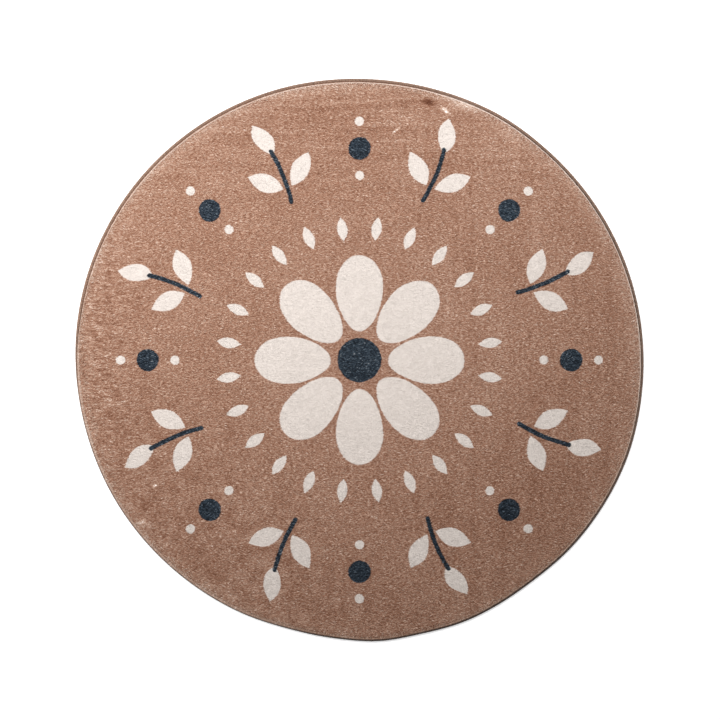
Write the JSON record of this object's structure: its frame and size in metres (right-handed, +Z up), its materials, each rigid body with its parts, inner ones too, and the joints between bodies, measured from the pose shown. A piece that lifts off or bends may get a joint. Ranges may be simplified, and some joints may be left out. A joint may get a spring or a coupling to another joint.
{
  "type": "round kids rug",
  "caption": "Round flat plush rug for a child's room, with a short dense pile, a printed face side and an overlocked yarn binding round its slightly uneven rim.",
  "frame": {"origin": "on the floor, under the middle of the rug's box", "axes": "+Z up out of the pile, +Y towards the rug's far edge, against the lie of the nap"},
  "size_m": [1.0056, 0.9956, 0.008],
  "materials": {
    "plush": "short plush pile, warm brown ground with a cream and dark slate print",
    "binding_yarn": "overlocked brown yarn"
  },
  "bodies": {
    "root": {"plush_panel": "plush", "edge_binding": "binding_yarn"}
  },
  "joints": []
}
